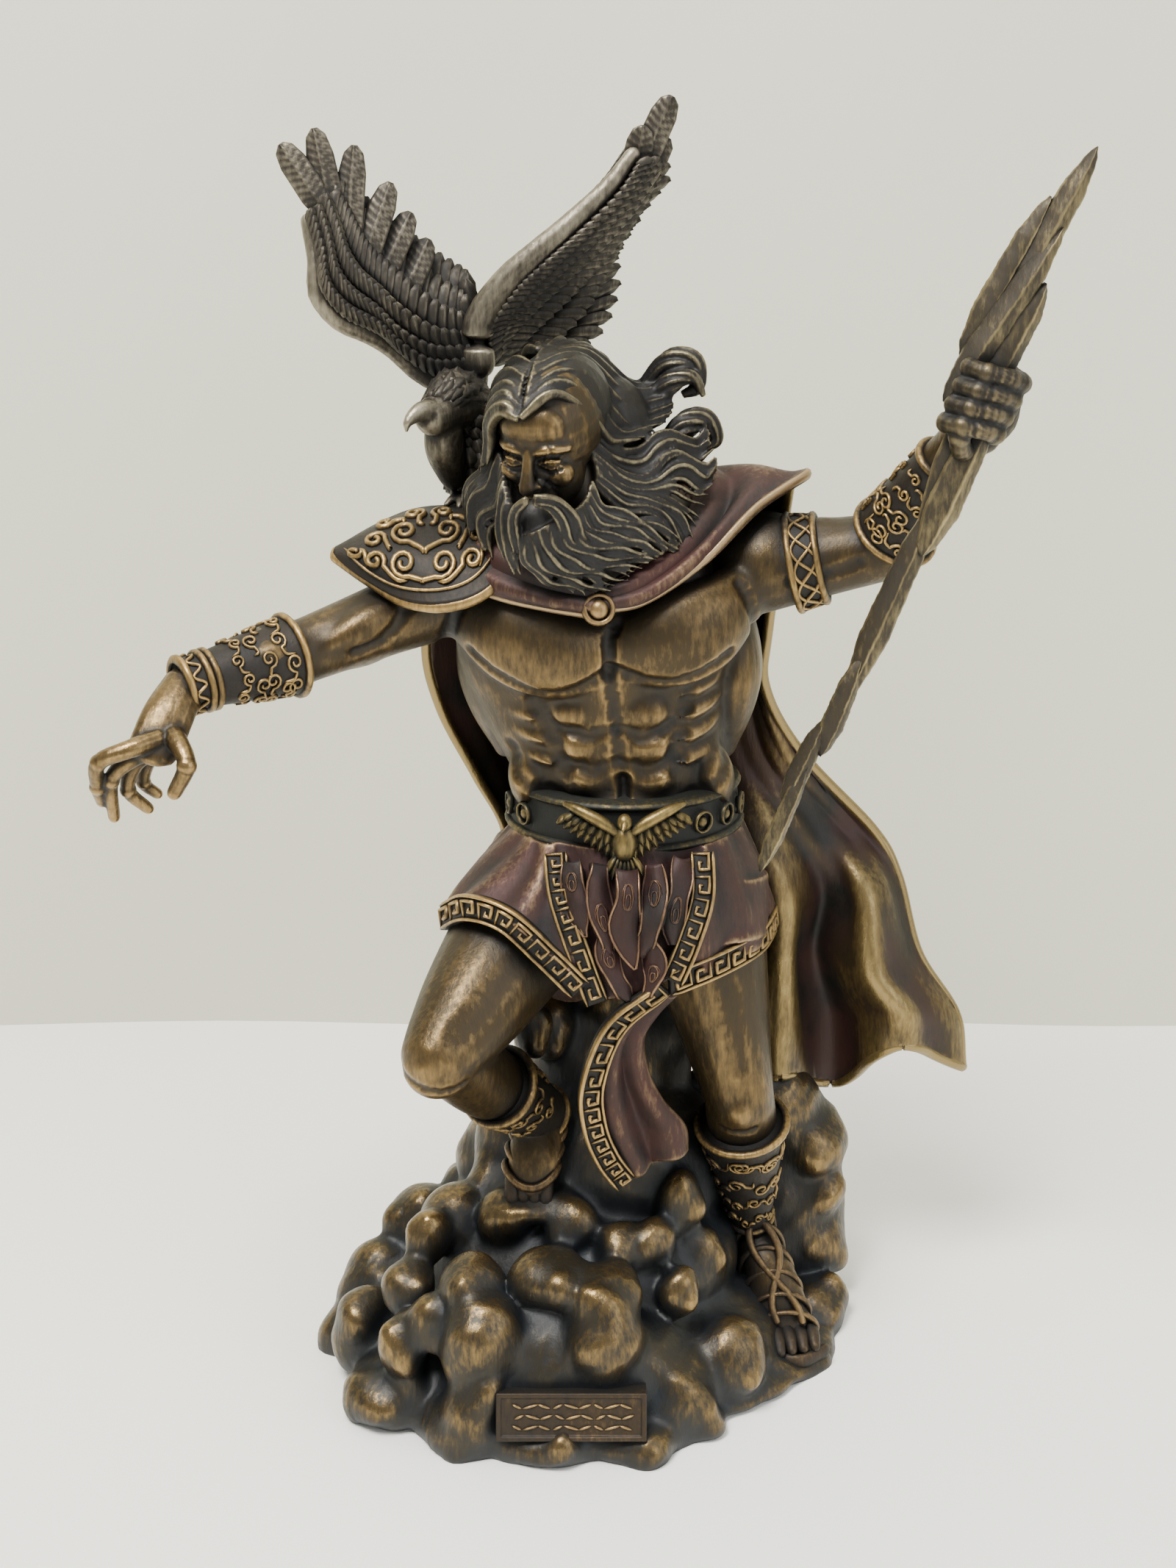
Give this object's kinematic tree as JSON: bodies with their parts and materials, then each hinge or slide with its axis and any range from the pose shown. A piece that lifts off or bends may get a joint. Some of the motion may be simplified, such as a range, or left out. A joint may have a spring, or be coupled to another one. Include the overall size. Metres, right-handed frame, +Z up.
{
  "type": "zeus statue",
  "caption": "Bronze-finished statuette of a bearded god in a cloak, striding down a bank of cloud with an eagle on the shoulder and a thunderbolt in a raised fist.",
  "frame": {"origin": "middle of the flat underside of the cloud bank, on the surface that it stands on", "axes": "+Z up, -Y out of the front of the statue towards the viewer, +X to the viewer's right"},
  "size_m": [0.2129, 0.1091, 0.3124],
  "materials": {
    "figure_bronze": "cold-cast bronze, dark brown patina with dry-brushed gold-bronze high points",
    "bolt_bronze": "cold-cast bronze, olive-khaki with bright ridges",
    "eagle_bronze": "cold-cast bronze, dusty dark grey-brown"
  },
  "bodies": {
    "root": {"zeus_on_cloud_bank": "figure_bronze", "thunderbolt": "bolt_bronze", "eagle": "eagle_bronze"}
  },
  "joints": []
}
